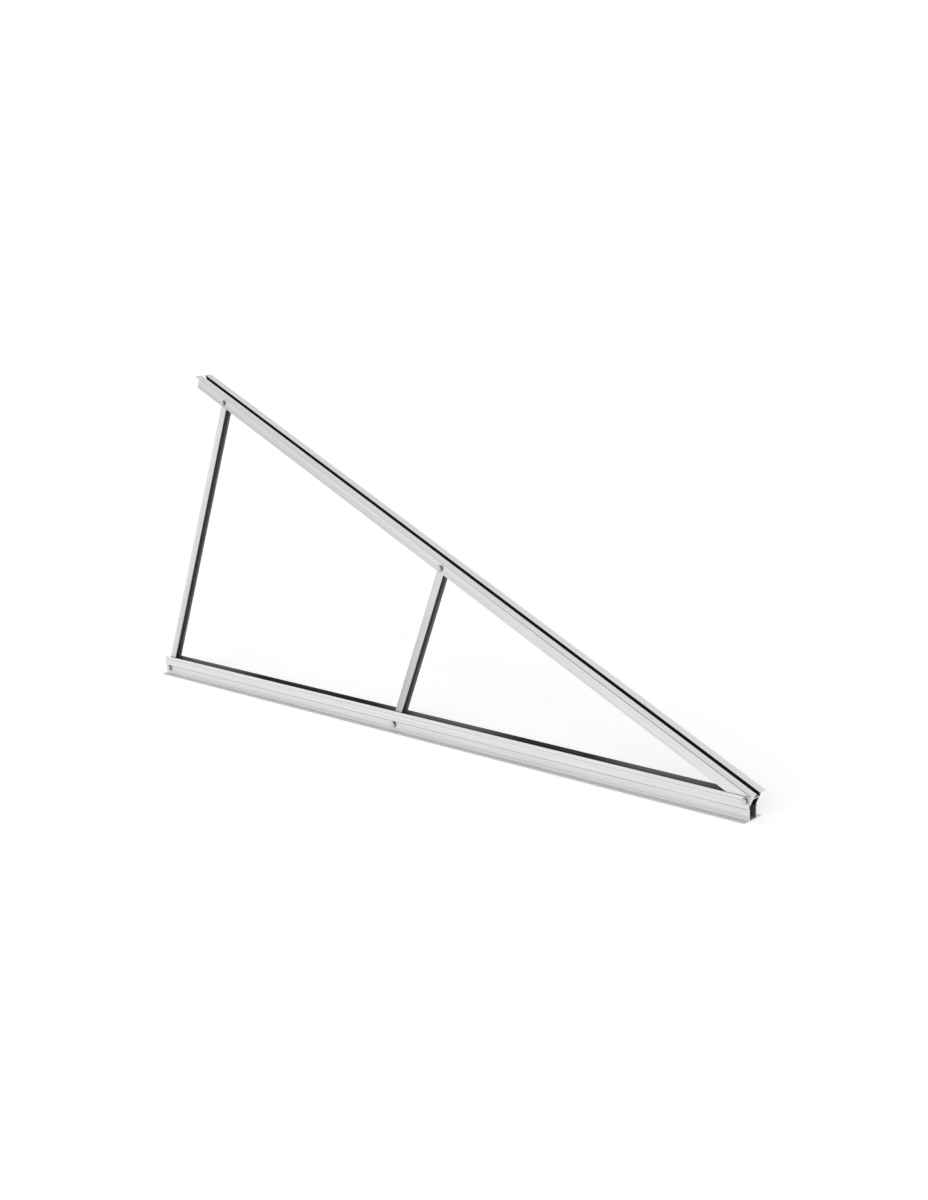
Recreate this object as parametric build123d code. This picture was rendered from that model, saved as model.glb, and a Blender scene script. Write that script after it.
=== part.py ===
"""Triangular aluminium support frame that tilts two rows of solar modules on a flat roof or on the ground.

A base rail lies flat and takes ballast or anchors along its foot flanges. A slotted top rail runs from the
toe of the base rail up to a tall rear strut and is held halfway by a short front strut. Five M8 bolts, each
with two washers and a lock nut, clamp the four members into a rigid triangle.

Millimetres. X runs along the base rail towards the toe, Y across the rails, Z up. The origin is on the
ground, at the middle of the frame's footprint box.
"""

from build123d import *
import math
import os

# ---- driving dimensions -------------------------------------------------------------------------------

TILT = 25.0                   # slope of the top rail, degrees
FIT_GAP = 0.3                 # play on each side where one profile slides inside another

BASE_LENGTH = 2330.0
BASE_WIDTH = 70.0             # over the foot flanges
BASE_HEIGHT = 60.0
BASE_PLATE = 2.5              # thickness of the foot plate
BASE_WALL = 2.5
STEP_HEIGHT = 29.4            # underside of the shoulders where the channel widens for the top rail
STEP_THICKNESS = 1.8
BASE_ROOT_RADIUS = 5.0        # outside, between wall and foot flange
BASE_EDGE_BREAK = 0.5         # small chamfer on the free edges
LINE_DEPTH = 0.5              # V groove that marks the drilling line
LINE_HALF_WIDTH = 0.7

RAIL_OVERHANG = 136.0         # top rail past the rear strut's bolt
RAIL_WIDTH = 60.0             # over the module flanges
RAIL_HEIGHT = 41.0
RAIL_WALL = 2.2
RAIL_FLANGE = 2.4             # thickness of the module flanges
RAIL_SLOT = 14.0              # clamp slot along the top
RAIL_LIP = 1.8                # thickness of the turned-down lips beside the slot
RAIL_LIP_DROP = 2.0           # how far they reach below the flange
RAIL_NUT_CHANNEL = 10.0       # height of the clamp-nut channel below the flanges
RAIL_BRIDGE = 2.0             # web below that channel, which joins the two walls
RAIL_ROOT_RADIUS = 2.0        # outside, between wall and flange
RAIL_EDGE_BREAK = 0.4         # small chamfer on the free edges

STRUT_DEPTH = 25.0            # across the rails
STRUT_WIDTH = 25.0            # along the rails
STRUT_WALL = 2.0
STRUT_CORNER = 2.0
STRUT_EDGE_BREAK = 0.4        # small chamfer on the free edges
STRUT_HEAD_GAP = 0.6          # between the strut's upper end and the top rail's bridge
STRUT_FOOT_MARGIN = 12.0      # bolt centre to the strut's lower end

BOLT_DIAMETER = 8.0
BOLT_HOLE = 9.0
BOLT_HEAD_FLATS = 13.0
BOLT_HEAD_HEIGHT = 5.3
BOLT_TAIL = 2.5               # thread that stands out of the nut
WASHER_DIAMETER = 16.0
WASHER_BORE = 8.4
WASHER_THICKNESS = 1.6
NUT_FLATS = 13.0
NUT_HEIGHT = 6.2              # hexagonal part
NUT_BORE = 8.1
COLLAR_DIAMETER = 11.6        # round collar of the lock nut
COLLAR_HEIGHT = 2.0

TOE_BOLT_TO_BASE_END = 9.0
TOE_BOLT_TO_RAIL_END = 14.0
RAIL_BOLT_DEPTH = 27.0        # rail bolts below the top plane of the top rail
FRONT_BOLT_TO_BASE_END = 1202.0
REAR_BOLT_TO_BASE_TAIL = 18.0
STRUT_BOLT_HEIGHT = 21.0      # strut bolts above the ground

# Each fastened joint, with the angle at which its bolt head and its nut came to a stop, in degrees.
HEAD_TURNS = {"toe": 12, "front_top": 38, "front_bottom": 22, "rear_top": 5, "rear_bottom": 49}
NUT_TURNS = {"toe": 27, "front_top": 8, "front_bottom": 50, "rear_top": 33, "rear_bottom": 16}

# ---- worked out from them -----------------------------------------------------------------------------

tilt = math.radians(TILT)
UP_RAIL = Vector(-math.cos(tilt), 0, math.sin(tilt))    # along the top rail, away from the toe
OUT_RAIL = Vector(math.sin(tilt), 0, math.cos(tilt))    # square to the top rail, also up the struts
BACKWARDS = Vector(0, -1, 0)

RAIL_INNER = STRUT_DEPTH + 2 * FIT_GAP
RAIL_BODY = RAIL_INNER + 2 * RAIL_WALL                  # over the rail's two walls
LOWER_INNER = STRUT_DEPTH + 2 * FIT_GAP
LOWER_OUTER = LOWER_INNER + 2 * BASE_WALL
UPPER_INNER = RAIL_BODY + 2 * FIT_GAP
UPPER_OUTER = UPPER_INNER + 2 * BASE_WALL
SHOULDER_HEIGHT = STEP_HEIGHT + STEP_THICKNESS
BRIDGE_TOP = -RAIL_FLANGE - RAIL_NUT_CHANNEL            # measured from the rail's top plane
BRIDGE_UNDERSIDE = BRIDGE_TOP - RAIL_BRIDGE
STRUT_HEAD_MARGIN = RAIL_BOLT_DEPTH + BRIDGE_UNDERSIDE - STRUT_HEAD_GAP
NUT_TOTAL_HEIGHT = NUT_HEIGHT + COLLAR_HEIGHT

# The lowest corner of the rail's toe end stands just over the shoulders of the base rail.
corner_to_bolt = UP_RAIL * TOE_BOLT_TO_RAIL_END + OUT_RAIL * (RAIL_HEIGHT - RAIL_BOLT_DEPTH)
TOE_BOLT_HEIGHT = SHOULDER_HEIGHT + FIT_GAP + corner_to_bolt.Z

# The tip of the top rail reaches past the base rail, and the footprint box is centred on the origin.
bolt_to_tip = OUT_RAIL * RAIL_BOLT_DEPTH - UP_RAIL * TOE_BOLT_TO_RAIL_END
TOE_OVERHANG = bolt_to_tip.X - TOE_BOLT_TO_BASE_END
BASE_TOE_X = (BASE_LENGTH - TOE_OVERHANG) / 2
BASE_TAIL_X = BASE_TOE_X - BASE_LENGTH

TOE_BOLT = Vector(BASE_TOE_X - TOE_BOLT_TO_BASE_END, 0, TOE_BOLT_HEIGHT)
FRONT_FOOT_BOLT = Vector(BASE_TOE_X - FRONT_BOLT_TO_BASE_END, 0, STRUT_BOLT_HEIGHT)
REAR_FOOT_BOLT = Vector(BASE_TAIL_X + REAR_BOLT_TO_BASE_TAIL, 0, STRUT_BOLT_HEIGHT)


def rail_bolt_above(foot_bolt):
    """Point on the rail's bolt line that lies square above a strut's foot bolt."""
    return foot_bolt + OUT_RAIL * (TOE_BOLT - foot_bolt).dot(OUT_RAIL)


FRONT_HEAD_BOLT = rail_bolt_above(FRONT_FOOT_BOLT)
REAR_HEAD_BOLT = rail_bolt_above(REAR_FOOT_BOLT)

RAIL_END = TOE_BOLT + bolt_to_tip
RAIL_LENGTH = (REAR_HEAD_BOLT - RAIL_END).dot(UP_RAIL) + RAIL_OVERHANG
RAIL_PLANE = Plane(origin=RAIL_END, x_dir=BACKWARDS, z_dir=UP_RAIL)
BASE_PLANE = Plane(origin=(BASE_TOE_X, 0, 0), x_dir=BACKWARDS, z_dir=(-1, 0, 0))


# ---- helpers ------------------------------------------------------------------------------------------

def face_from(outline):
    with BuildSketch() as sketch:
        with BuildLine():
            Polyline(*outline, close=True)
        make_face()
    return sketch.sketch


def mirrored_face(half_outline):
    """Symmetric face from the +X half of its outline, whose first and last points lie on the axis."""
    other_half = [(-x, y) for x, y in reversed(half_outline) if x > 0]
    return face_from(half_outline + other_half)


def shape_corners(operation, size, face, *spots):
    """Fillet or chamfer the face's corners at the given (x, y) spots and at their mirror images."""
    places = [Vector(side * x, y) for x, y in spots for side in (1, -1)]
    corners = [c for c in face.vertices() if any((Vector(c.X, c.Y) - p).length < 1e-4 for p in places)]
    return operation(corners, size)


def drill(body, centres):
    """Clearance holes along Y through both walls of a profile."""
    for centre in centres:
        start = Plane(origin=(centre.X, BASE_WIDTH, centre.Z), z_dir=BACKWARDS)
        body -= start * extrude(Circle(BOLT_HOLE / 2), 2 * BASE_WIDTH)
    return body


def export(solid, node):
    export_step(solid, f"parts/{node}.step")


# ---- members ------------------------------------------------------------------------------------------

def base_rail():
    """Foot plate with two stepped walls: the lower channel takes the struts, the upper one the top rail."""
    plate = BASE_WIDTH / 2
    lower_in, lower_out = LOWER_INNER / 2, LOWER_OUTER / 2
    upper_in, upper_out = UPPER_INNER / 2, UPPER_OUTER / 2
    face = mirrored_face([
        (0, 0), (plate, 0), (plate, BASE_PLATE), (lower_out, BASE_PLATE),
        (lower_out, STEP_HEIGHT), (upper_out, STEP_HEIGHT),
        (upper_out, TOE_BOLT_HEIGHT - LINE_HALF_WIDTH),
        (upper_out - LINE_DEPTH, TOE_BOLT_HEIGHT),
        (upper_out, TOE_BOLT_HEIGHT + LINE_HALF_WIDTH),
        (upper_out, BASE_HEIGHT), (upper_in, BASE_HEIGHT), (upper_in, SHOULDER_HEIGHT),
        (lower_in, SHOULDER_HEIGHT), (lower_in, BASE_PLATE), (0, BASE_PLATE),
    ])
    face = shape_corners(fillet, BASE_ROOT_RADIUS, face, (lower_out, BASE_PLATE))
    face = shape_corners(chamfer, BASE_EDGE_BREAK, face, (plate, BASE_PLATE), (upper_out, STEP_HEIGHT),
                         (upper_out, BASE_HEIGHT), (upper_in, BASE_HEIGHT))
    rail = BASE_PLANE * extrude(face, BASE_LENGTH)
    return drill(rail, [TOE_BOLT, FRONT_FOOT_BOLT, REAR_FOOT_BOLT])


def top_rail():
    """Rail with module flanges and a clamp-nut channel on top, and an open channel for the struts below."""
    inner, outer = RAIL_INNER / 2, RAIL_BODY / 2
    flange, slot = RAIL_WIDTH / 2, RAIL_SLOT / 2
    lip, lip_end = slot + RAIL_LIP, -RAIL_FLANGE - RAIL_LIP_DROP
    face = mirrored_face([
        (0, BRIDGE_TOP), (inner, BRIDGE_TOP), (inner, -RAIL_FLANGE),
        (lip, -RAIL_FLANGE), (lip, lip_end), (slot, lip_end), (slot, 0),
        (flange, 0), (flange, -RAIL_FLANGE), (outer, -RAIL_FLANGE),
        (outer, -RAIL_HEIGHT), (inner, -RAIL_HEIGHT), (inner, BRIDGE_UNDERSIDE), (0, BRIDGE_UNDERSIDE),
    ])
    face = shape_corners(fillet, RAIL_ROOT_RADIUS, face, (outer, -RAIL_FLANGE))
    face = shape_corners(chamfer, RAIL_EDGE_BREAK, face, (slot, 0), (flange, 0), (flange, -RAIL_FLANGE),
                         (outer, -RAIL_HEIGHT), (inner, -RAIL_HEIGHT))
    rail = RAIL_PLANE * extrude(face, RAIL_LENGTH)
    return drill(rail, [TOE_BOLT, FRONT_HEAD_BOLT, REAR_HEAD_BOLT])


def strut(foot_bolt, head_bolt):
    """Channel square to the top rail, with its open side towards the toe."""
    side, back = STRUT_DEPTH / 2, STRUT_WIDTH / 2
    inner, web = side - STRUT_WALL, back - STRUT_WALL
    face = mirrored_face([(0, web), (inner, web), (inner, -back), (side, -back), (side, back), (0, back)])
    face = shape_corners(fillet, STRUT_CORNER, face, (side, back))
    face = shape_corners(chamfer, STRUT_EDGE_BREAK, face, (side, -back), (inner, -back))
    start = foot_bolt - OUT_RAIL * STRUT_FOOT_MARGIN
    length = (head_bolt - foot_bolt).length + STRUT_FOOT_MARGIN + STRUT_HEAD_MARGIN
    channel = Plane(origin=start, x_dir=(0, 1, 0), z_dir=OUT_RAIL) * extrude(face, length)
    return drill(channel, [foot_bolt, head_bolt])


# ---- fasteners ----------------------------------------------------------------------------------------
# Each is drawn along Z with its bearing face at zero, then set on the joint that it clamps.

def hexagon(flats, height):
    return extrude(RegularPolygon(flats / 2, 6, major_radius=False), height)


def bolt(grip):
    """Hex-head bolt whose head stands on zero and whose shank runs down through the grip and its nut."""
    shank = extrude(Circle(BOLT_DIAMETER / 2), -(grip + NUT_TOTAL_HEIGHT + BOLT_TAIL))
    return hexagon(BOLT_HEAD_FLATS, BOLT_HEAD_HEIGHT) + shank


def washer():
    return extrude(Circle(WASHER_DIAMETER / 2) - Circle(WASHER_BORE / 2), WASHER_THICKNESS)


def lock_nut():
    """Hexagon with a round collar on its outer end."""
    collar = extrude(Circle(COLLAR_DIAMETER / 2), NUT_TOTAL_HEIGHT)
    return hexagon(NUT_FLATS, NUT_HEIGHT) + collar - extrude(Circle(NUT_BORE / 2), NUT_TOTAL_HEIGHT)


def export_fasteners(place, centre, clamped_width):
    """Write the four pieces that clamp a joint, with the bolt head in front and the nut behind."""
    grip = clamped_width + 2 * WASHER_THICKNESS
    front = Vector(centre.X, -clamped_width / 2, centre.Z)
    behind = Vector(centre.X, clamped_width / 2, centre.Z)
    lift = Pos(0, 0, WASHER_THICKNESS)
    on_front = Plane(origin=front, x_dir=(1, 0, 0), z_dir=(0, -1, 0))
    on_back = Plane(origin=behind, x_dir=(1, 0, 0), z_dir=(0, 1, 0))
    head_turn, nut_turn = Rot(0, 0, HEAD_TURNS[place]), Rot(0, 0, NUT_TURNS[place])
    export(on_front * lift * head_turn * bolt(grip), f"{place}_bolt")
    export(on_front * washer(), f"{place}_washer")
    export(on_back * washer(), f"{place}_nut_washer")
    export(on_back * lift * nut_turn * lock_nut(), f"{place}_lock_nut")


# ---- build --------------------------------------------------------------------------------------------

os.makedirs("parts", exist_ok=True)
export(base_rail(), "base_rail")
export(top_rail(), "top_rail")
export(strut(FRONT_FOOT_BOLT, FRONT_HEAD_BOLT), "front_strut")
export(strut(REAR_FOOT_BOLT, REAR_HEAD_BOLT), "rear_strut")

JOINTS = {
    "toe": (TOE_BOLT, UPPER_OUTER),
    "front_top": (FRONT_HEAD_BOLT, RAIL_BODY),
    "front_bottom": (FRONT_FOOT_BOLT, LOWER_OUTER),
    "rear_top": (REAR_HEAD_BOLT, RAIL_BODY),
    "rear_bottom": (REAR_FOOT_BOLT, LOWER_OUTER),
}
for joint, (bolt_centre, width) in JOINTS.items():
    export_fasteners(joint, bolt_centre, width)
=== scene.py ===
"""Dresses the solar ballast mount: drawn aluminium, threaded bolts, lock nuts, a pale studio and a camera."""

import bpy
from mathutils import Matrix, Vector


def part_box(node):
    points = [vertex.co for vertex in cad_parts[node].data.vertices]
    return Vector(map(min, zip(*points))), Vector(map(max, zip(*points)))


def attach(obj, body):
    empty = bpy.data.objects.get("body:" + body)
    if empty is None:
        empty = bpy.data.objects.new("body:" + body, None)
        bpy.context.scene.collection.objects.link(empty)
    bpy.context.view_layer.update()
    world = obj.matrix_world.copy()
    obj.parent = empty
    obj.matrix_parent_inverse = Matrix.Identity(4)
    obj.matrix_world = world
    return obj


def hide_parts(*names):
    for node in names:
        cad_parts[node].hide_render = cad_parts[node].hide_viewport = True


bl_info = {
    "name": "Solar ballast mount looks",
    "version": (1, 0, 0),
    "blender": (4, 5, 0),
    "location": "View3D > Sidebar > Ballast mount",
    "description": "Finishes, fasteners, studio and camera for a tilted aluminium module frame",
    "category": "Add Mesh",
}

import math

import bmesh
import bpy
from mathutils import Matrix, Vector

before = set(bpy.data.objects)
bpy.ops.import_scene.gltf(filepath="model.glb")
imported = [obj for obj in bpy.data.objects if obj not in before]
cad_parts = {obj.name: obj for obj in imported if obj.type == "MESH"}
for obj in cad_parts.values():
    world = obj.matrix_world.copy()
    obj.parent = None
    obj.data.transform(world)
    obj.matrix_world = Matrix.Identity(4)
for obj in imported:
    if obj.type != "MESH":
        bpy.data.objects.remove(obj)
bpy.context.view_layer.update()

MM = 0.001
BODY = "root"
JOINTS = ("toe", "front_top", "front_bottom", "rear_top", "rear_bottom")
STRUTS = ("front", "rear")
STRUT_BACK_TONES = {"front": 0.91, "rear": 1.08}  # brightness at each strut's back, as a share of its front
STRUT_SEEDS = {"front": 7.80, "rear": 8.03}  # shifts of the grain, so that the struts differ

# Rubbed edges of the aluminium, with a painted highlight on them.
RUBBED_AND_HIGHLIT_ALUMINIUM = (0.93, 0.93, 0.92, 1.0)
# Painted shade in cracks and tight corners.
PAINTED_CREVICE_SHADE = (0.10, 0.10, 0.10, 1.0)
# Rubbed edges of the steel, with a painted highlight on them.
RUBBED_AND_HIGHLIT_STEEL = (0.86, 0.86, 0.85, 1.0)
# Painted shade on the fasteners' faces that run along their axis.
SHADED_SIDE_STEEL = (0.25, 0.25, 0.25, 1.0)
# Painted shade where the fasteners meet the frame.
STEEL_CREVICE_SHADE = (0.09, 0.09, 0.09, 1.0)

CROWN_SHARE = 0.97  # a hexagon's flat crown, as a share of its half width across flats
BLANK_STEPS = 96
THREAD_STEPS = 32  # per turn of the thread

FLOOR_DROP = 0.1 * MM  # keeps the floor's plane apart from the base rail's underside


# ---- places read from the frame -------------------------------------------------------------------------

def box_centre(node):
    low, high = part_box(node)
    return (low + high) / 2


def rail_slope():
    """Slope of the top rail, from its two bolts."""
    run = box_centre("rear_top_washer") - box_centre("front_top_washer")
    return math.atan2(run.z, -run.x)


# ---- settings -------------------------------------------------------------------------------------------

class FinishSettings(bpy.types.PropertyGroup):
    rail_colour: bpy.props.FloatVectorProperty(
        name="Rail aluminium", description="Clean mill finish of the base rail and the top rail",
        subtype="COLOR", size=3, min=0, max=1, default=(0.80, 0.80, 0.806))
    strut_colour: bpy.props.FloatVectorProperty(
        name="Strut aluminium", description="Clean mill finish of the two struts",
        subtype="COLOR", size=3, min=0, max=1, default=(0.75, 0.75, 0.735))
    metallic: bpy.props.FloatProperty(
        name="Bareness", description="How metallic the aluminium is under its thin oxide film",
        subtype="FACTOR", min=0, max=1, default=0.55)
    # Painted shade: a near-black colour that stands in for the shade inside the rails' channels and in the
    # fasteners' deep spots.
    painted_shade_colour: bpy.props.FloatVectorProperty(
        name="Sheltered metal", description="Tarnish inside the rails' channels",
        subtype="COLOR", size=3, min=0, max=1, default=(0.0125, 0.0125, 0.0125))
    # Painted shade: a dark colour that stands in for the shade inside the struts' channels.
    strut_painted_shade_colour: bpy.props.FloatVectorProperty(
        name="Sheltered strut metal", description="Tarnish and dust inside the struts' channels",
        subtype="COLOR", size=3, min=0, max=1, default=(0.135, 0.135, 0.118))
    steel_colour: bpy.props.FloatVectorProperty(
        name="Stainless steel", description="Bolts, washers and nuts",
        subtype="COLOR", size=3, min=0, max=1, default=(0.62, 0.625, 0.63))
    ring_colour: bpy.props.FloatVectorProperty(
        name="Locking ring", description="Nylon ring in the nuts",
        subtype="COLOR", size=3, min=0, max=1, default=(0.80, 0.80, 0.74))
    roughness: bpy.props.FloatProperty(
        name="Roughness", description="Middle roughness of the drawn aluminium",
        subtype="FACTOR", min=0, max=1, default=0.38)
    front_foot: bpy.props.FloatProperty(
        name="Front strut's foot", description="Shine of the front strut at its foot, as a share of its head",
        subtype="FACTOR", min=0, max=1, default=0.70)
    rear_foot: bpy.props.FloatProperty(
        name="Rear strut's foot", description="Shine of the rear strut at its foot, as a share of its head",
        subtype="FACTOR", min=0, max=1, default=0.93)
    # Brightness of the rubbed edges, which also paints a highlight on them.
    wear_and_highlight: bpy.props.FloatProperty(
        name="Edge wear", description="How bright the rubbed edges are",
        subtype="FACTOR", min=0, max=1, default=0.35)


class FastenerSettings(bpy.types.PropertyGroup):
    thread_pitch: bpy.props.FloatProperty(
        name="Thread pitch", description="Axial distance from crest to crest",
        subtype="DISTANCE", unit="LENGTH", min=0.0005, max=0.003, default=1.25 * MM)
    thread_depth: bpy.props.FloatProperty(
        name="Thread depth", description="From crest to root",
        subtype="DISTANCE", unit="LENGTH", min=0.0002, max=0.002, default=0.7 * MM)
    head_chamfer: bpy.props.FloatProperty(
        name="Hexagon chamfer", description="Slope of the turned corners on heads and nuts",
        subtype="ANGLE", unit="ROTATION", min=0.2, max=0.9, default=math.radians(30))
    ring_height: bpy.props.FloatProperty(
        name="Locking ring height", description="Height of the nylon ring in the nut's collar",
        subtype="DISTANCE", unit="LENGTH", min=0.0005, max=0.003, default=1.5 * MM)


class StudioSettings(bpy.types.PropertyGroup):
    camera_place: bpy.props.FloatVectorProperty(
        name="Camera place", description="Where the camera stands",
        subtype="TRANSLATION", unit="LENGTH", size=3, default=(2.9561, -2.7494, 1.2610))
    camera_turn: bpy.props.FloatVectorProperty(
        name="Camera turn", description="Camera angles about X, Y and Z",
        subtype="EULER", unit="ROTATION", size=3,
        default=tuple(math.radians(a) for a in (77.6717, 2.7214, 43.9747)))
    lens: bpy.props.FloatProperty(
        name="Lens", description="Focal length in millimetres on a 36 mm wide sensor",
        min=10, max=300, default=56.825)
    floor_colour: bpy.props.FloatVectorProperty(
        name="Floor", description="Colour of the floor",
        subtype="COLOR", size=3, min=0, max=1, default=(0.93, 0.93, 0.93))
    floor_size: bpy.props.FloatProperty(
        name="Floor size", description="Side of the square floor",
        subtype="DISTANCE", unit="LENGTH", min=5, max=200, default=60)
    floor_glow: bpy.props.FloatProperty(
        name="Floor glow", description="What the floor adds to itself where it is seen directly or mirrored",
        min=0, max=1, default=0.37)
    world_level: bpy.props.FloatProperty(
        name="Room light", description="Strength of the light from all round",
        min=0, max=2, default=0.50)
    front_level: bpy.props.FloatProperty(
        name="Front light", description="Strength of the broad soft light from the near side",
        min=0, max=20, default=2.12)
    front_direction: bpy.props.FloatVectorProperty(
        name="Front light from", description="Direction that the broad light comes from",
        subtype="DIRECTION", size=3, default=(0.32, -0.92, 0.24))
    front_softness: bpy.props.FloatProperty(
        name="Front light softness", description="Angle that the broad light fills",
        subtype="ANGLE", unit="ROTATION", min=0, max=math.pi, default=math.radians(70))


# ---- shader helpers -------------------------------------------------------------------------------------

def add(tree, kind, inputs=None, **settings):
    """New node with its settings, and its inputs set to values or linked to sockets."""
    made = tree.nodes.new(kind)
    for name, value in settings.items():
        setattr(made, name, value)
    for key, value in (inputs or {}).items():
        socket = made.inputs[key]
        if isinstance(value, bpy.types.NodeSocket):
            tree.links.new(value, socket)
        else:
            socket.default_value = value
    return made


def maths(tree, operation, *values, clamp=False):
    made = add(tree, "ShaderNodeMath", dict(enumerate(values)), operation=operation, use_clamp=clamp)
    return made.outputs[0]


def mixed(tree, factor, first, second, blend="MIX"):
    """Colour mix of two colours or colour sockets."""
    inputs = {"Factor": factor, 6: first, 7: second}
    return add(tree, "ShaderNodeMix", inputs, data_type="RGBA", blend_type=blend).outputs[2]


def spread(tree, value, low, high, to_low, to_high):
    """Map a value from one range to another, held at the ends."""
    inputs = {"Value": value, 1: low, 2: high, 3: to_low, 4: to_high}
    return add(tree, "ShaderNodeMapRange", inputs, clamp=True).outputs[0]


def noise(tree, vector, scale, detail=2.0, roughness=0.5):
    inputs = {"Vector": vector, "Scale": scale, "Detail": detail, "Roughness": roughness}
    return add(tree, "ShaderNodeTexNoise", inputs).outputs["Fac"]


def component(tree, vector, axis):
    return add(tree, "ShaderNodeSeparateXYZ", {"Vector": vector}).outputs[axis]


def band(tree, value, centre, half_width):
    """1 where the value is at the centre, falling to 0 at half_width from it."""
    away = maths(tree, "ABSOLUTE", maths(tree, "SUBTRACT", value, centre))
    return spread(tree, away, half_width * 0.4, half_width, 1.0, 0.0)


def grey_product(tree, *factors):
    result = factors[0]
    for factor in factors[1:]:
        result = maths(tree, "MULTIPLY", result, factor)
    return result


def shade(colour, share):
    """A colour made darker or brighter by a share, never past white, with its alpha."""
    return (*(min(1.0, c * share) for c in colour), 1.0)


def relief_normal(tree, height, strength, depth, normal=None):
    """Normal with a fine relief, on top of another normal where one is given."""
    inputs = {"Height": height, "Strength": strength, "Distance": depth}
    if normal is not None:
        inputs["Normal"] = normal
    return add(tree, "ShaderNodeBump", inputs).outputs[0]


def grey_ramp(tree, value, stops):
    """Map a value through (position, level) stops."""
    made = add(tree, "ShaderNodeValToRGB", {"Fac": value})
    ramp = made.color_ramp
    while len(ramp.elements) < len(stops):
        ramp.elements.new(1.0)
    for element, (position, level) in zip(ramp.elements, stops):
        element.position = position
        element.color = (level, level, level, 1.0)
    return made.outputs[0]


# ---- shared shader groups -------------------------------------------------------------------------------

def new_group(name, inputs, outputs):
    """Shader node group with the given sockets: {name: default} in, {name: socket type} out."""
    tree = bpy.data.node_groups.new(name, "ShaderNodeTree")
    for label, default in inputs.items():
        kind = "NodeSocketVector" if isinstance(default, tuple) else "NodeSocketFloat"
        socket = tree.interface.new_socket(label, in_out="INPUT", socket_type=kind)
        socket.default_value = default
    for label, kind in outputs.items():
        tree.interface.new_socket(label, in_out="OUTPUT", socket_type=kind)
    return tree, tree.nodes.new("NodeGroupInput"), tree.nodes.new("NodeGroupOutput")


def shared_group(tree, builder, inputs):
    """Use a node group in a material, and build it at its first use."""
    name = builder.__name__
    group = bpy.data.node_groups.get(name) or builder(name)
    return add(tree, "ShaderNodeGroup", inputs, node_tree=group)


def drawn_grain(name):
    """Streaks that extrusion and drawing leave along a profile, whose length runs along the vector's X."""
    tree, given, result = new_group(
        name, {"Along": (0.0, 0.0, 0.0), "Streak Width": 4.0 * MM, "Streak Length": 0.35},
        {"Streaks": "NodeSocketFloat", "Fine": "NodeSocketFloat", "Clouds": "NodeSocketFloat"})
    along, width, length = (given.outputs[i] for i in range(3))

    def stretched(width_share, length_share):
        across = maths(tree, "DIVIDE", 1.0, maths(tree, "MULTIPLY", width, width_share))
        lengthwise = maths(tree, "DIVIDE", 1.0, maths(tree, "MULTIPLY", length, length_share))
        scale = add(tree, "ShaderNodeCombineXYZ", {0: lengthwise, 1: across, 2: across}).outputs[0]
        return add(tree, "ShaderNodeVectorMath", {0: along, 1: scale}, operation="MULTIPLY").outputs[0]

    tree.links.new(noise(tree, stretched(1.0, 1.0), 1.0, 3.0, 0.55), result.inputs["Streaks"])
    tree.links.new(noise(tree, stretched(0.14, 0.12), 1.0, 2.0, 0.6), result.inputs["Fine"])
    tree.links.new(noise(tree, stretched(8.0, 0.5), 1.0, 4.0, 0.6), result.inputs["Clouds"])
    return tree


def shelter(name):
    """How sheltered a spot is, from 0 in the open to 1 deep in a channel or on a face that looks inwards;
    painted shade goes where it is high.
    """
    tree, given, result = new_group(name, {"Reach": 0.04, "Inward": 0.6, "Crack": 2.5 * MM},
                                    {"Shelter": "NodeSocketFloat", "Crevice": "NodeSocketFloat"})

    def covered(reach, samples):
        made = add(tree, "ShaderNodeAmbientOcclusion", {"Distance": reach}, samples=samples)
        return maths(tree, "SUBTRACT", 1.0, made.outputs["AO"])

    deep = grey_ramp(tree, covered(given.outputs["Reach"], 12),
                     [(0.0, 0.0), (0.45, 0.04), (0.6, 0.3), (0.75, 0.8), (0.9, 1.0)])
    here = add(tree, "ShaderNodeTexCoord")
    side = component(tree, here.outputs["Object"], "Y")
    facing = component(tree, here.outputs["Normal"], "Y")
    looks_inwards = spread(tree, maths(tree, "MULTIPLY", side, facing), -1.0 * MM, -4.0 * MM, 0.0, 1.0)
    inner = maths(tree, "MULTIPLY", looks_inwards, given.outputs["Inward"])
    # Shelter: where painted shade goes, deep in channels and on faces that look inwards.
    tree.links.new(maths(tree, "MAXIMUM", deep, inner), result.inputs["Shelter"])
    # Crevice: where painted shade goes in cracks and tight corners.
    crevice = spread(tree, covered(given.outputs["Crack"], 8), 0.25, 0.6, 0.0, 1.0)
    tree.links.new(crevice, result.inputs["Crevice"])
    return tree


def rubbed_and_highlit_edges(name):
    """Mask of the outer and inner edges, from how far a rounded normal leans away from the face: where
    rubbing and a painted highlight brighten them.
    """
    tree, given, result = new_group(name, {"Radius": 0.6 * MM, "Along": (0.0, 0.0, 0.0)},
                                    {"Edge": "NodeSocketFloat", "Normal": "NodeSocketVector"})
    rounded = add(tree, "ShaderNodeBevel", {"Radius": given.outputs["Radius"]}, samples=6)
    face = add(tree, "ShaderNodeNewGeometry")
    agreement = add(tree, "ShaderNodeVectorMath",
                    {0: rounded.outputs[0], 1: face.outputs["True Normal"]}, operation="DOT_PRODUCT")
    lean = spread(tree, agreement.outputs["Value"], 1.0, 0.86, 0.0, 1.0)
    patches = spread(tree, noise(tree, given.outputs["Along"], 60.0, 3.0), 0.35, 0.6, 0.35, 1.0)
    tree.links.new(maths(tree, "MULTIPLY", lean, patches), result.inputs["Edge"])
    tree.links.new(rounded.outputs[0], result.inputs["Normal"])
    return tree


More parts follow.
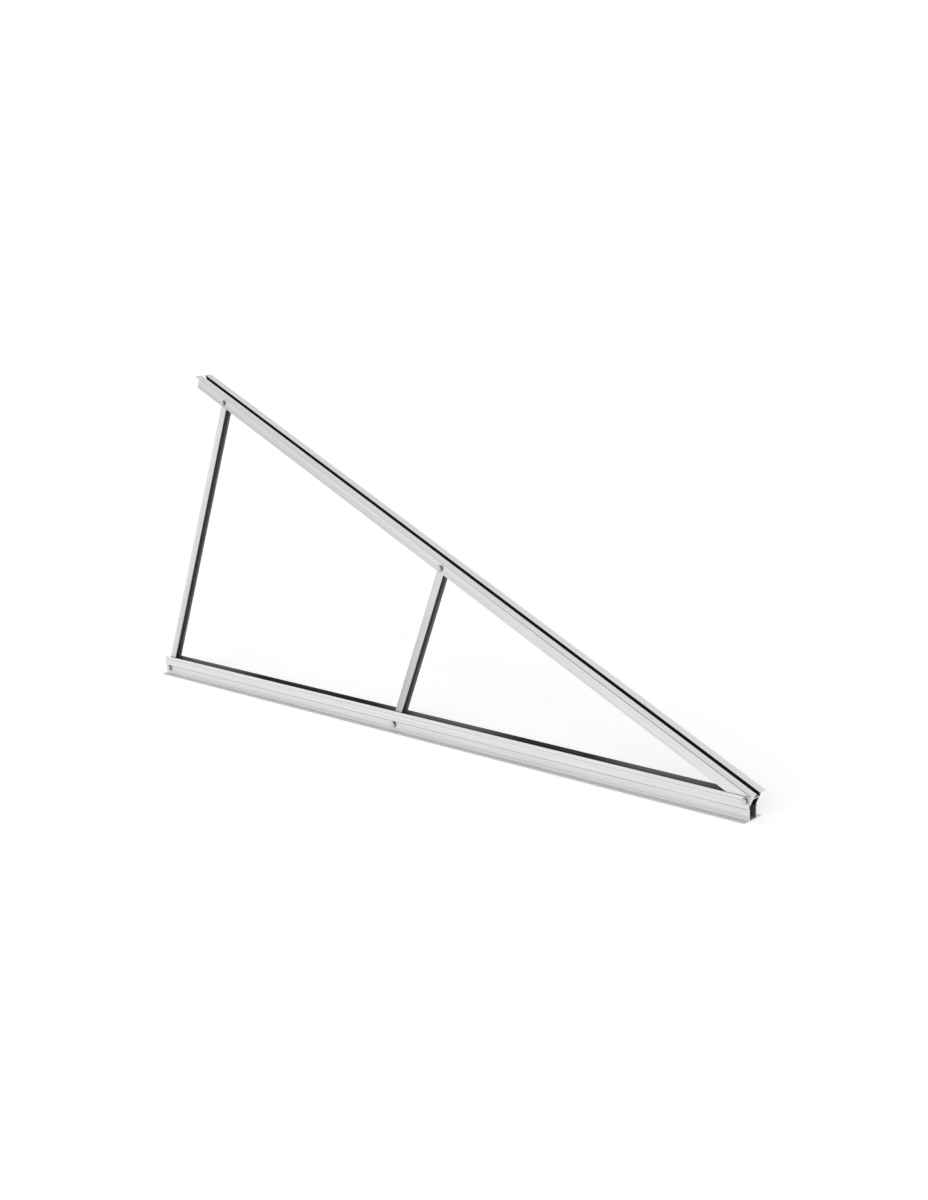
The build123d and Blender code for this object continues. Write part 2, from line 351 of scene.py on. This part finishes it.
def saw_cut(name):
    """Saw-cut ends of a profile: a mask of the faces across its length, and the arcs that the blade left."""
    tree, given, result = new_group(name, {"Along": (0.0, 0.0, 0.0), "Axis": (1.0, 0.0, 0.0)},
                                    {"Cut": "NodeSocketFloat", "Marks": "NodeSocketFloat"})
    blade_centre, mark_pitch = (0.0, 0.11, 0.05), 0.9 * MM
    face = add(tree, "ShaderNodeNewGeometry")
    facing = add(tree, "ShaderNodeVectorMath", {0: face.outputs["True Normal"], 1: given.outputs["Axis"]},
                 operation="DOT_PRODUCT")
    cut = spread(tree, maths(tree, "ABSOLUTE", facing.outputs["Value"]), 0.97, 0.99, 0.0, 1.0)
    across = add(tree, "ShaderNodeVectorMath", {0: given.outputs["Along"], 1: (0.0, 1.0, 1.0)},
                 operation="MULTIPLY")
    radius = add(tree, "ShaderNodeVectorMath", {0: across.outputs[0], 1: blade_centre}, operation="DISTANCE")
    marks = maths(tree, "SINE", maths(tree, "MULTIPLY", radius.outputs["Value"], math.tau / mark_pitch))
    tree.links.new(cut, result.inputs["Cut"])
    tree.links.new(spread(tree, marks, -1.0, 1.0, 0.0, 1.0), result.inputs["Marks"])
    return tree


# ---- aluminium ------------------------------------------------------------------------------------------

def surface(name):
    """New material with a Principled shader, its node tree and that shader."""
    material = bpy.data.materials.new(name)
    material.use_nodes = True
    shader = material.node_tree.nodes["Principled BSDF"]
    return material, material.node_tree, shader


def open_metal(tree, colour, contrast, grain, tone):
    """Colour of aluminium in the open: streaks, clouds and fine lines, under a grey tone."""
    streaks = spread(tree, grain.outputs["Streaks"], 0.32, 0.68, 0.0, 1.0)
    streaked = mixed(tree, streaks, shade(colour, 1 - contrast), shade(colour, 1.05))
    clouds = spread(tree, grain.outputs["Clouds"], 0.45, 0.7, 0.0, 0.35)
    cloudy = mixed(tree, clouds, streaked, shade(colour, 0.88))
    lines = spread(tree, grain.outputs["Fine"], 0.3, 0.7, 0.0, 0.22)
    lined = mixed(tree, lines, cloudy, shade(colour, 0.86))
    return mixed(tree, 1.0, lined, tone, blend="MULTIPLY")


def worked_metal(tree, metal, colour, wear_and_highlight, saw, edge, cover):
    """The open colour with bright saw cuts, rubbed edges with a painted highlight, and painted shade in its
    cracks.
    """
    cut = mixed(tree, maths(tree, "MULTIPLY", saw.outputs["Cut"], 0.85), metal, shade(colour, 1.14))
    # Rubbed edges with a painted highlight.
    worn_and_highlit = mixed(tree, maths(tree, "MULTIPLY", edge.outputs["Edge"], wear_and_highlight), cut, RUBBED_AND_HIGHLIT_ALUMINIUM)
    # Painted shade in cracks and tight corners.
    return mixed(tree, maths(tree, "MULTIPLY", cover.outputs["Crevice"], 0.6), worn_and_highlit, PAINTED_CREVICE_SHADE)


def painted_channel_shade(tree, painted_shade_tint, glint, grain, brightest):
    """Painted shade deep in a channel: a dark colour with patches, glint times as bright in a painted glint
    where brightest is 1.
    """
    mottle = maths(tree, "ADD", grain.outputs["Clouds"], grain.outputs["Streaks"])
    patches = spread(tree, mottle, 0.85, 1.3, 0.0, 0.3)
    if brightest is not None:
        patches = maths(tree, "MAXIMUM", patches, brightest)
    return mixed(tree, patches, shade(painted_shade_tint, 1.0), shade(painted_shade_tint, glint))


def drawn_roughness(tree, middle, grain, sheltered):
    """Roughness that follows the grain about a middle value and rises in shelter."""
    streaks = spread(tree, grain.outputs["Streaks"], 0.3, 0.7, middle + 0.06, middle - 0.06)
    lined = maths(tree, "ADD", streaks, spread(tree, grain.outputs["Fine"], 0.3, 0.7, 0.04, -0.04))
    return maths(tree, "ADD", lined, maths(tree, "MULTIPLY", sheltered, 0.35), clamp=True)


def drawn_relief(tree, grain, saw):
    """Height of the streaks, the fine lines and the blade's marks on the cut ends."""
    marks = maths(tree, "MULTIPLY", saw.outputs["Marks"], saw.outputs["Cut"])
    return maths(tree, "ADD", maths(tree, "MULTIPLY", grain.outputs["Streaks"], 0.6),
                 maths(tree, "ADD", grain.outputs["Fine"], marks))


def drawn_aluminium(name, colour, axis_turn, finish, tone, streak=4.0 * MM, seed=0.0, inward=0.97,
                    reach=34 * MM, painted_shade_colour=None, glint=3.0, glint_place=None, contrast=0.08):
    """Mill-finish aluminium whose grain follows a profile that is turned by axis_turn about Y.

    tone(tree, along) gives a grey socket that the open metal's colour is multiplied by.
    Sheltered spots get painted shade in a dark colour, up to glint times as bright in a painted glint, and
    glint_place(tree, along) gives a socket for where that painted glint is brightest.
    """
    material, tree, shader = surface(name)
    point = add(tree, "ShaderNodeTexCoord").outputs["Object"]
    turn = (0.0, axis_turn, 0.0)
    along = add(tree, "ShaderNodeMapping", {"Vector": point, "Rotation": turn}).outputs[0]
    shifted = add(tree, "ShaderNodeVectorMath", {0: along, 1: (seed, seed, 0.0)}, operation="ADD").outputs[0]
    axis = (math.cos(axis_turn), 0.0, math.sin(axis_turn))
    grain = shared_group(tree, drawn_grain, {"Along": shifted, "Streak Width": streak})
    cover = shared_group(tree, shelter, {"Reach": reach, "Inward": inward})
    edge = shared_group(tree, rubbed_and_highlit_edges, {"Radius": 0.5 * MM, "Along": point})
    saw = shared_group(tree, saw_cut, {"Along": along, "Axis": axis})
    sheltered = cover.outputs["Shelter"]

    metal = open_metal(tree, colour, contrast, grain, tone(tree, along))
    bare = worked_metal(tree, metal, colour, finish.wear_and_highlight, saw, edge, cover)
    brightest = glint_place(tree, along) if glint_place else None
    # Painted shade in sheltered spots, with a painted glint where glint_place is high.
    dark = painted_channel_shade(tree, painted_shade_colour or finish.painted_shade_colour, glint, grain, brightest)
    tree.links.new(mixed(tree, sheltered, bare, dark), shader.inputs["Base Color"])
    shader.inputs["Specular IOR Level"].default_value = 0.25
    roughness = drawn_roughness(tree, finish.roughness, grain, sheltered)
    tree.links.new(roughness, shader.inputs["Roughness"])
    metallic = spread(tree, sheltered, 0.1, 0.7, finish.metallic, finish.metallic * 0.5)
    tree.links.new(metallic, shader.inputs["Metallic"])
    normal = relief_normal(tree, drawn_relief(tree, grain, saw), 0.12, 0.2 * MM, edge.outputs["Normal"])
    tree.links.new(normal, shader.inputs["Normal"])
    return material


def base_rail_painted_shade(tree, along):
    """Painted shade: the walls darker towards their foot, painted shade along the drilling line, and a
    painted shadow under the step.
    """
    height = component(tree, along, "Z")
    washer = box_centre("toe_washer")
    above_flange = 10 * MM
    skin = abs(washer.y) - 1.5 * MM  # a little inside the walls' outer faces, which the washer bears on
    step = min(v.co.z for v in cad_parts["base_rail"].data.vertices
               if v.co.z > above_flange and abs(v.co.y) > skin)
    # Painted shade, darker towards the foot of the walls.
    foot = spread(tree, height, 6 * MM, 12 * MM, 0.88, 1.0)
    # Painted shade along the drilling line.
    drilling_line_shade = spread(tree, band(tree, height, washer.z, 1.3 * MM), 0.0, 1.0, 1.0, 0.80)
    # Painted shadow under the step.
    step_shadow = spread(tree, band(tree, height, step - 0.4 * MM, 1.6 * MM), 0.0, 1.0, 1.0, 0.42)
    return grey_product(tree, foot, drilling_line_shade, step_shadow)


def painted_light_beside_feet(tree, along):
    """Painted light: the painted shade in the base rail's channel is paler near the toe and on the toe side
    of each strut's foot.
    """
    patch_offset, patch_reach, toe_offset, strength = 0.18, 0.30, 0.40, 0.9
    run = component(tree, along, "X")
    starts = [box_centre(f"{strut}_bottom_washer").x for strut in STRUTS]
    starts.append(box_centre("toe_washer").x - toe_offset)
    # Painted light patches in the channel's painted shade.
    lit_patches = 0.0
    for start in starts:
        lit_patches = maths(tree, "MAXIMUM", lit_patches, band(tree, run, start + patch_offset, patch_reach))
    return maths(tree, "MULTIPLY", lit_patches, strength)


def strut_looks(strut, foot_tone, back_tone):
    """Tone that turns to foot_tone at a strut's foot and back_tone at its back, and a stripe where the
    painted shade inside is paler.
    """
    clean_length, stripe_offset, stripe_half_width = 0.1, 7.5 * MM, 3.5 * MM
    slope = rail_slope()
    length_axis = Vector((math.sin(slope), 0.0, math.cos(slope)))
    back_axis = Vector((-math.cos(slope), 0.0, math.sin(slope)))
    foot, head = (box_centre(f"{strut}_{end}_washer") for end in ("bottom", "top"))
    bolt_line = foot.dot(back_axis)

    def tone(tree, along):
        climb = spread(tree, component(tree, along, "X"), foot.dot(length_axis),
                       head.dot(length_axis) - clean_length, foot_tone, 1.0)
        back = spread(tree, component(tree, along, "Z"), bolt_line - 2 * MM, bolt_line + 8 * MM,
                      1.0, back_tone)
        return grey_product(tree, climb, back)

    # Stripe where the painted shade inside the strut is paler.
    def stripe(tree, along):
        return band(tree, component(tree, along, "Z"), bolt_line - stripe_offset, stripe_half_width)

    return tone, stripe


def top_rail_painted_shade(tree, along):
    """Painted shade: a painted shadow line along the flanges' outer edges, darkest towards the low end, the
    tops a little darker, and the walls darker lower down, most at the high end; painted light makes the rail
    brighter towards its low end.
    """
    slope = rail_slope()
    out = Vector((math.sin(slope), 0.0, math.cos(slope)))
    corners = [v.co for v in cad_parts["top_rail"].data.vertices]
    top = max(corner.dot(out) for corner in corners)
    half_width = max(corner.y for corner in corners)
    across = maths(tree, "ABSOLUTE", component(tree, along, "Y"))
    depth = maths(tree, "SUBTRACT", top, component(tree, along, "Z"))
    run = component(tree, along, "X")
    # Painted shadow line along the flanges' outer edges, darkest towards the low end.
    rim_shadow_level = spread(tree, run, 0.0, 0.4, 0.70, 0.36)
    rim = spread(tree, across, half_width - 1.0 * MM, half_width - 0.2 * MM, 1.0, rim_shadow_level)
    # Painted shade, a little darker on the tops.
    skin = spread(tree, depth, 0.0, 3.0 * MM, 0.94, 1.0)
    # Painted shade, darker lower down the walls, most at the high end.
    lower_wall_shade_level = spread(tree, run, -1.2, 1.0, 0.70, 0.92)
    wall = spread(tree, depth, 10 * MM, 38 * MM, 1.0, lower_wall_shade_level)
    # Painted light, brighter towards the low end.
    climb = spread(tree, run, -1.0, 1.0, 0.98, 1.06)
    return grey_product(tree, rim, skin, wall, climb)


# ---- steel and nylon ------------------------------------------------------------------------------------

def stainless_steel(name, finish):
    """Bright faces across the bolts' axis, painted shade on the sides, and painted shade where the fasteners
    meet the frame and in deep spots.
    """
    material, tree, shader = surface(name)
    here = add(tree, "ShaderNodeTexCoord")
    point = here.outputs["Object"]
    cover = shared_group(tree, shelter, {"Reach": 8 * MM, "Inward": 0.0, "Crack": 5 * MM})
    edge = shared_group(tree, rubbed_and_highlit_edges, {"Radius": 0.25 * MM, "Along": point})
    mottle = noise(tree, point, 700.0, 3.0)
    turned = noise(tree, point, 4000.0, 2.0)
    base = mixed(tree, spread(tree, mottle, 0.3, 0.7, 0.0, 1.0), shade(finish.steel_colour, 0.90),
                 shade(finish.steel_colour, 1.06))
    # Rubbed edges with a painted highlight.
    worn_and_highlit = mixed(tree, maths(tree, "MULTIPLY", edge.outputs["Edge"], finish.wear_and_highlight), base, RUBBED_AND_HIGHLIT_STEEL)
    facing = maths(tree, "ABSOLUTE", component(tree, here.outputs["Normal"], "Y"))
    # Painted shade on the faces that run along the axis.
    shaded_sides = mixed(tree, spread(tree, facing, 0.25, 0.6, 0.85, 0.0), worn_and_highlit, SHADED_SIDE_STEEL)
    # Painted shade in the cracks where the fasteners meet the frame.
    crevice_shaded = mixed(tree, maths(tree, "MULTIPLY", cover.outputs["Crevice"], 0.8), shaded_sides, STEEL_CREVICE_SHADE)
    # Painted shade in the deep spots.
    dark = shade(finish.painted_shade_colour, 1.0)
    tree.links.new(mixed(tree, cover.outputs["Shelter"], crevice_shaded, dark), shader.inputs["Base Color"])
    tree.links.new(spread(tree, mottle, 0.3, 0.7, 0.24, 0.38), shader.inputs["Roughness"])
    shader.inputs["Metallic"].default_value = 1.0
    normal = relief_normal(tree, turned, 0.08, 0.1 * MM, edge.outputs["Normal"])
    tree.links.new(normal, shader.inputs["Normal"])
    return material


def nylon(name, finish):
    """Waxy, faintly mottled plastic of the locking rings."""
    material, tree, shader = surface(name)
    point = add(tree, "ShaderNodeTexCoord").outputs["Object"]
    mottle = noise(tree, point, 900.0, 3.0)
    colour = mixed(tree, mottle, shade(finish.ring_colour, 0.92), shade(finish.ring_colour, 1.0))
    tree.links.new(colour, shader.inputs["Base Color"])
    tree.links.new(spread(tree, mottle, 0.3, 0.7, 0.45, 0.6), shader.inputs["Roughness"])
    shader.inputs["Subsurface Weight"].default_value = 0.15
    shader.inputs["Subsurface Radius"].default_value = (1 * MM, 1 * MM, 1 * MM)
    tree.links.new(relief_normal(tree, mottle, 0.1, 0.1 * MM), shader.inputs["Normal"])
    return material


def fastener_material(builder, finish):
    """Material that several operators share, built by the first of them."""
    name = f"fastener_{builder.__name__}"
    return bpy.data.materials.get(name) or builder(name, finish)


def dress(node, material):
    """Give a CAD node its finish."""
    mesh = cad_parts[node].data
    mesh.materials.clear()
    mesh.materials.append(material)


# ---- mesh helpers ---------------------------------------------------------------------------------------

def from_axis(point, centre):
    """Distance of a point from a joint's axis, which runs along Y."""
    return math.hypot(point.x - centre.x, point.z - centre.z)


def end_radius(node, centre, end):
    """Radius of a CAD node's round end, which lies at the given Y."""
    return max(from_axis(v.co, centre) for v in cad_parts[node].data.vertices
               if abs(v.co.y - end) < 0.01 * MM)


def hexagon(node, centre, span):
    """Corner radius, half width and first flat's angle of a CAD node's hexagon between two places on Y."""
    low_y, high_y = span
    corner = max((v.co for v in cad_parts[node].data.vertices if low_y <= v.co.y <= high_y),
                 key=lambda co: (co.x - centre.x) ** 2 + (co.z - centre.z) ** 2)
    radius = from_axis(corner, centre)
    half_corner = math.radians(30)
    flat_turn = math.atan2(corner.z - centre.z, corner.x - centre.x) + half_corner
    return radius, radius * math.cos(half_corner), flat_turn


def turned_blank(bm, profile):
    """Spin a closed profile of (radius, height) points round the Z axis."""
    ring = [bm.verts.new((radius, 0.0, height)) for radius, height in profile]
    edges = [bm.edges.new((a, b)) for a, b in zip(ring, ring[1:] + ring[:1])]
    bmesh.ops.spin(bm, geom=edges, cent=(0, 0, 0), axis=(0, 0, 1), angle=math.tau, steps=BLANK_STEPS,
                   use_merge=True)
    bmesh.ops.remove_doubles(bm, verts=bm.verts, dist=1e-7)


def cut_flat(bm, place, outward):
    """Slice off what lies outside a plane and close the cut."""
    bmesh.ops.bisect_plane(bm, geom=bm.verts[:] + bm.edges[:] + bm.faces[:], plane_co=place,
                           plane_no=outward, clear_outer=True)
    bmesh.ops.edgeloop_fill(bm, edges=[e for e in bm.edges if e.is_boundary])


def cut_hexagon(bm, half_flats, turn):
    """Cut a turned blank's six flats, the first of them at the given angle."""
    for side in range(6):
        angle = turn + math.radians(60 * side)
        outward = Vector((math.cos(angle), math.sin(angle), 0.0))
        cut_flat(bm, outward * half_flats, outward)


def threaded_rod(bm, radius, depth, pitch, start, end):
    """Helical thread along Z, cut square at both ends."""
    shape = [(radius - depth, 0.0), (radius, 0.38), (radius, 0.5), (radius - depth, 0.88),
             (radius - depth, 1.0)]
    turns = math.ceil((end - start) / pitch) + 2
    ridge = [bm.verts.new((r, 0.0, start - pitch + share * pitch)) for r, share in shape]
    edges = [bm.edges.new(pair) for pair in zip(ridge, ridge[1:])]
    step = Vector((0.0, 0.0, pitch / THREAD_STEPS))
    bmesh.ops.spin(bm, geom=edges, cent=(0, 0, 0), axis=(0, 0, 1), dvec=step, angle=math.tau * turns,
                   steps=THREAD_STEPS * turns)
    bmesh.ops.remove_doubles(bm, verts=bm.verts, dist=1e-6)
    for height, outward in ((start, -1.0), (end, 1.0)):
        cut_flat(bm, Vector((0.0, 0.0, height)), Vector((0.0, 0.0, outward)))


def point_rod(rod, root, tip):
    """Bevel the rod's tip down to the thread's root radius."""
    slope, facets = math.radians(45), 24
    for side in range(facets):
        angle = math.tau * side / facets
        outward = Vector((math.cos(angle) * math.cos(slope), math.sin(angle) * math.cos(slope),
                          -math.sin(slope)))
        cut_flat(rod, Vector((math.cos(angle) * root, math.sin(angle) * root, tip)), outward)


def join(target, source):
    """Add one bmesh's geometry to another and free it."""
    mesh = bpy.data.meshes.new("joined")
    source.to_mesh(mesh)
    source.free()
    target.from_mesh(mesh)
    bpy.data.meshes.remove(mesh)


def finish_piece(bm, name, materials, place, smooth_below):
    """Turn the piece's Z axis to -Y, put it in its place and make it an object that rides on the frame."""
    bmesh.ops.recalc_face_normals(bm, faces=bm.faces)
    bmesh.ops.transform(bm, matrix=Matrix.Translation(place) @ Matrix.Rotation(math.pi / 2, 4, "X"),
                        verts=bm.verts)
    for edge in bm.edges:
        edge.smooth = len(edge.link_faces) == 2 and edge.calc_face_angle(0.0) < smooth_below
    for face in bm.faces:
        face.smooth = True
    mesh = bpy.data.meshes.new(name)
    bm.to_mesh(mesh)
    bm.free()
    for material in materials:
        mesh.materials.append(material)
    piece = bpy.data.objects.new(name, mesh)
    bpy.context.scene.collection.objects.link(piece)
    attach(piece, BODY)
    return piece


# ---- pieces ---------------------------------------------------------------------------------------------

class BALLAST_OT_finish_rails(bpy.types.Operator):
    """Give the base rail and the top rail their drawn aluminium"""
    bl_idname = "ballast.finish_rails"
    bl_label = "Finish rails"

    def execute(self, context):
        finish = context.scene.ballast_finish
        dress("base_rail", drawn_aluminium("base_rail_aluminium", finish.rail_colour, 0.0, finish,
                                           base_rail_painted_shade, reach=60 * MM, glint=16.0,
                                           glint_place=painted_light_beside_feet))
        dress("top_rail", drawn_aluminium("top_rail_aluminium", finish.rail_colour, -rail_slope(), finish,
                                          top_rail_painted_shade, seed=3.7, inward=1.0))
        return {"FINISHED"}


class BALLAST_OT_finish_struts(bpy.types.Operator):
    """Give the two struts their drawn aluminium"""
    bl_idname = "ballast.finish_struts"
    bl_label = "Finish struts"

    def execute(self, context):
        finish = context.scene.ballast_finish
        upright = math.pi / 2 - rail_slope()
        foot_tones = {"front": finish.front_foot, "rear": finish.rear_foot}
        for strut in STRUTS:
            tone, stripe = strut_looks(strut, foot_tones[strut], STRUT_BACK_TONES[strut])
            metal = drawn_aluminium(f"{strut}_strut_aluminium", finish.strut_colour, upright, finish, tone,
                                    streak=6.0 * MM, seed=STRUT_SEEDS[strut], reach=20 * MM,
                                    painted_shade_colour=finish.strut_painted_shade_colour, glint=2.1,
                                    glint_place=stripe, contrast=0.14)
            dress(f"{strut}_strut", metal)
        return {"FINISHED"}


class BALLAST_OT_finish_washers(bpy.types.Operator):
    """Give the washers on both sides of the joints their stainless steel"""
    bl_idname = "ballast.finish_washers"
    bl_label = "Finish washers"

    def execute(self, context):
        steel = fastener_material(stainless_steel, context.scene.ballast_finish)
        for joint in JOINTS:
            dress(f"{joint}_washer", steel)
            dress(f"{joint}_nut_washer", steel)
        return {"FINISHED"}


class BALLAST_OT_make_bolts(bpy.types.Operator):
    """Make the hex-head bolts, with chamfered heads and cut threads"""
    bl_idname = "ballast.make_bolts"
    bl_label = "Make bolts"

    def execute(self, context):
        sizes = context.scene.ballast_fasteners
        steel = fastener_material(stainless_steel, context.scene.ballast_finish)
        for joint in JOINTS:
            self.make_bolt(joint, sizes, steel)
        return {"FINISHED"}

    def make_bolt(self, joint, sizes, steel):
        low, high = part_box(f"{joint}_bolt")
        centre = box_centre(f"{joint}_washer")
        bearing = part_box(f"{joint}_washer")[0].y
        corner, half_flats, flat_turn = hexagon(f"{joint}_bolt", centre, (low.y, bearing))
        shank = end_radius(f"{joint}_bolt", centre, high.y)

        bm = bmesh.new()
        turned_blank(bm, self.head_profile(corner, half_flats, bearing - low.y, sizes.head_chamfer))
        cut_hexagon(bm, half_flats, flat_turn)
        rod = bmesh.new()
        tip, hidden_end = bearing - high.y, -0.05 * MM
        threaded_rod(rod, shank, sizes.thread_depth, sizes.thread_pitch, tip, hidden_end)
        point_rod(rod, shank - sizes.thread_depth, tip)
        join(bm, rod)
        piece = finish_piece(bm, f"{joint}_threaded_bolt", [steel], Vector((centre.x, bearing, centre.z)),
                             math.radians(32))
        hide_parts(f"{joint}_bolt")

    def head_profile(self, corner, half_flats, height, chamfer):
        """Half section of the head: a round seat against the washer, and corners turned off at the top."""
        seat, seat_height = half_flats * 0.96, 0.12 * MM
        crown = half_flats * CROWN_SHARE
        rise = (corner - crown) * math.tan(chamfer)
        return [(0.0, 0.0), (seat, 0.0), (seat, seat_height), (corner, seat_height),
                (corner, height - rise), (crown, height), (0.0, height)]


class BALLAST_OT_make_lock_nuts(bpy.types.Operator):
    """Make the lock nuts, with chamfered hexagons and nylon rings in their collars"""
    bl_idname = "ballast.make_lock_nuts"
    bl_label = "Make lock nuts"

    def execute(self, context):
        sizes = context.scene.ballast_fasteners
        finish = context.scene.ballast_finish
        steel = fastener_material(stainless_steel, finish)
        ring = fastener_material(nylon, finish)
        for joint in JOINTS:
            self.make_nut(joint, sizes, [steel, ring])
        return {"FINISHED"}

    def make_nut(self, joint, sizes, materials):
        node = f"{joint}_lock_nut"
        low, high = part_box(node)
        centre = box_centre(f"{joint}_nut_washer")
        height = high.y - low.y
        corner, half_flats, flat_turn = hexagon(node, centre, (low.y, low.y + 0.1 * MM))
        collar = end_radius(node, centre, high.y)
        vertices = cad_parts[node].data.vertices
        bore = min(from_axis(v.co, centre) for v in vertices)
        hexagon_top = max(v.co.y for v in vertices if from_axis(v.co, centre) > corner * 0.98) - low.y
        crown = half_flats * CROWN_SHARE
        rise = (corner - crown) * math.tan(sizes.head_chamfer)
        groove = collar - 0.7 * MM
        cover = height - 0.3 * MM
        shelf = height - sizes.ring_height - 0.3 * MM

        bm = bmesh.new()
        hexagon_side = [(crown, 0.0), (corner, rise), (corner, hexagon_top - rise), (crown, hexagon_top)]
        collar_side = [(collar, hexagon_top), (collar, height - 0.6 * MM),
                       (collar - 0.2 * MM, height - 0.15 * MM), (collar - 0.5 * MM, height)]
        lip = groove - 0.35 * MM
        inside = [(lip, height), (lip, cover), (groove, cover), (groove, shelf), (bore, shelf),
                  (bore, 0.4 * MM), (bore + 0.4 * MM, 0.0)]
        turned_blank(bm, hexagon_side + collar_side + inside)
        cut_hexagon(bm, half_flats, flat_turn)
        join(bm, self.locking_ring(bore, groove, shelf, cover))
        bmesh.ops.scale(bm, vec=(1.0, 1.0, -1.0), verts=bm.verts)
        piece = finish_piece(bm, f"{joint}_collared_nut", materials, Vector((centre.x, low.y, centre.z)),
                             math.radians(28))
        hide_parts(node)

    def locking_ring(self, bore, groove, shelf, cover):
        """Nylon ring in the collar's groove, with the nut's second material."""
        gap, chamfer = 0.02 * MM, 0.3 * MM
        ring = bmesh.new()
        turned_blank(ring, [(bore, shelf + gap), (groove - gap, shelf + gap), (groove - gap, cover - gap),
                            (bore + chamfer, cover - gap), (bore, cover - chamfer)])
        for face in ring.faces:
            face.material_index = 1
        return ring


# ---- studio ---------------------------------------------------------------------------------------------

def white_to_camera(tree):
    """1 for the rays that see the room itself: straight, mirrored and through glass."""
    path = add(tree, "ShaderNodeLightPath")
    seen = maths(tree, "MAXIMUM", path.outputs["Is Camera Ray"], path.outputs["Is Glossy Ray"])
    return maths(tree, "MAXIMUM", seen, path.outputs["Is Transmission Ray"])


class BALLAST_OT_build_studio(bpy.types.Operator):
    """Lay the pale floor, light the room and set the camera"""
    bl_idname = "ballast.build_studio"
    bl_label = "Build studio"

    def execute(self, context):
        studio = context.scene.ballast_studio
        context.scene.view_settings.view_transform = "Standard"
        self.lay_floor(context, studio)
        self.light_room(context, studio)
        self.set_camera(context, studio)
        return {"FINISHED"}

    def lay_floor(self, context, studio):
        bm = bmesh.new()
        bmesh.ops.create_grid(bm, x_segments=1, y_segments=1, size=studio.floor_size / 2)
        bmesh.ops.translate(bm, vec=(0.0, 0.0, -FLOOR_DROP), verts=bm.verts)
        mesh = bpy.data.meshes.new("studio_floor")
        bm.to_mesh(mesh)
        bm.free()
        floor = bpy.data.objects.new("studio_floor", mesh)
        context.scene.collection.objects.link(floor)
        material, tree, shader = surface("pale_floor")
        shader.inputs["Base Color"].default_value = (*studio.floor_colour, 1.0)
        shader.inputs["Roughness"].default_value = 0.9
        shader.inputs["Specular IOR Level"].default_value = 0.1
        shader.inputs["Emission Color"].default_value = (1.0, 1.0, 1.0, 1.0)
        tree.links.new(maths(tree, "MULTIPLY", white_to_camera(tree), studio.floor_glow),
                       shader.inputs["Emission Strength"])
        mesh.materials.append(material)

    def light_room(self, context, studio):
        world = bpy.data.worlds.new("soft_room")
        context.scene.world = world
        world.use_nodes = True
        tree = world.node_tree
        background = tree.nodes["Background"]
        background.inputs["Color"].default_value = (1.0, 1.0, 1.0, 1.0)
        level = spread(tree, white_to_camera(tree), 0.0, 1.0, studio.world_level, 1.0)
        tree.links.new(level, background.inputs["Strength"])
        light = bpy.data.lights.new("front_light", "SUN")
        light.energy = studio.front_level
        light.angle = studio.front_softness
        lamp = bpy.data.objects.new("front_light", light)
        lamp.rotation_euler = Vector(studio.front_direction).to_track_quat("Z", "Y").to_euler()
        lamp.visible_glossy = False  # the room alone is mirrored, so faces square to the lamp keep their tone
        context.scene.collection.objects.link(lamp)

    def set_camera(self, context, studio):
        camera = bpy.data.cameras.new("camera")
        camera.sensor_fit = "HORIZONTAL"
        camera.sensor_width = 36.0
        camera.lens = studio.lens
        camera.clip_end = 200.0
        viewer = bpy.data.objects.new("camera", camera)
        viewer.location = studio.camera_place
        viewer.rotation_euler = studio.camera_turn
        context.scene.collection.objects.link(viewer)
        context.scene.camera = viewer


# ---- add-on ---------------------------------------------------------------------------------------------

SETTINGS = {"ballast_finish": FinishSettings, "ballast_fasteners": FastenerSettings,
            "ballast_studio": StudioSettings}
OPERATORS = (BALLAST_OT_finish_rails, BALLAST_OT_finish_struts, BALLAST_OT_finish_washers,
             BALLAST_OT_make_bolts, BALLAST_OT_make_lock_nuts, BALLAST_OT_build_studio)


class BALLAST_PT_panel(bpy.types.Panel):
    """Lists the steps that dress the ballast mount, and their sizes and colours"""
    bl_idname = "BALLAST_PT_panel"
    bl_label = "Ballast mount"
    bl_space_type = "VIEW_3D"
    bl_region_type = "UI"
    bl_category = "Ballast mount"

    def draw(self, context):
        for operator in OPERATORS:
            self.layout.operator(operator.bl_idname)
        for name, group in SETTINGS.items():
            column = self.layout.column()
            for setting in group.__annotations__:
                column.prop(getattr(context.scene, name), setting)


def register():
    for group in (*SETTINGS.values(), *OPERATORS, BALLAST_PT_panel):
        bpy.utils.register_class(group)
    for name, group in SETTINGS.items():
        setattr(bpy.types.Scene, name, bpy.props.PointerProperty(type=group))


def unregister():
    for name in SETTINGS:
        delattr(bpy.types.Scene, name)
    for group in (BALLAST_PT_panel, *reversed(OPERATORS), *SETTINGS.values()):
        bpy.utils.unregister_class(group)


def main():
    register()
    bpy.ops.ballast.finish_rails()
    bpy.ops.ballast.finish_struts()
    bpy.ops.ballast.finish_washers()
    bpy.ops.ballast.make_bolts()
    bpy.ops.ballast.make_lock_nuts()
    bpy.ops.ballast.build_studio()


if __name__ == "__main__":
    main()
